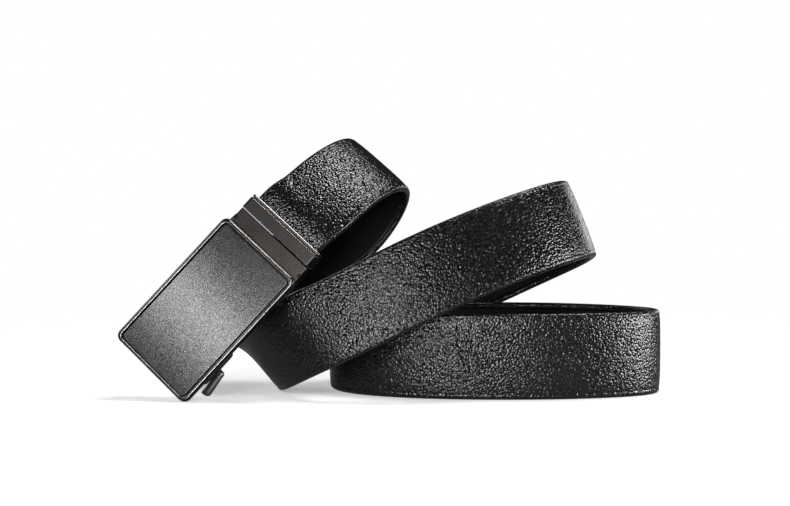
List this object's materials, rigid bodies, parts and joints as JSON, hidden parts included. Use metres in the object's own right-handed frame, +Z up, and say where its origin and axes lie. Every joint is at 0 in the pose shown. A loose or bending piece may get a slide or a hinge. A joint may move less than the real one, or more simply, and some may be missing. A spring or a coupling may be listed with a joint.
{
  "type": "ratchet belt",
  "caption": "Coiled black leather belt with a plain rectangular automatic ratchet buckle, standing on edge with the buckle leaning on the ground.",
  "frame": {"origin": "on the ground, under the middle of the belt's bounding box", "axes": "+X along the coil, from the buckle's side to the far turns; +Y to the back, away from the side the buckle's face looks to; +Z up"},
  "size_m": [0.2246, 0.0824, 0.1073],
  "materials": {
    "pebbled_leather": "black pebbled leather, semi-gloss, with a fine raised grain",
    "smooth_leather": "near-black smooth leather, matte",
    "black_nylon": "black moulded nylon, matte",
    "satin_gunmetal": "dark gunmetal plating, satin, with brighter bevels",
    "polished_gunmetal": "dark gunmetal plating, polished",
    "sandblasted_gunmetal": "dark grey sandblasted metal with a fine even sparkle"
  },
  "bodies": {
    "strap_end": {"strap": "pebbled_leather", "strap_lining": "smooth_leather", "ratchet_track": "black_nylon", "strap_clamp": "satin_gunmetal", "clamp_neck": "satin_gunmetal", "hinge_pin": "polished_gunmetal"},
    "buckle": {"buckle_frame": "satin_gunmetal", "face_plate": "sandblasted_gunmetal"},
    "latch": {"release_lever": "polished_gunmetal", "pawl": "polished_gunmetal"}
  },
  "joints": [
    {"name": "buckle_tilt", "type": "hinge", "parent": "strap_end", "child": "buckle", "pos_m": [-0.06019, -0.02362, 0.05154], "axis": [0.7133, -0.2914, -0.6374], "range_deg": [0, 25]},
    {"name": "release_lever", "type": "hinge", "parent": "buckle", "child": "latch", "pos_m": [-0.08503, -0.02338, 0.02362], "axis": [-0.7133, 0.2914, 0.6374], "range_deg": [0, 25], "stiffness_Nm_per_rad": 0.04, "springref_deg": -5.73}
  ]
}
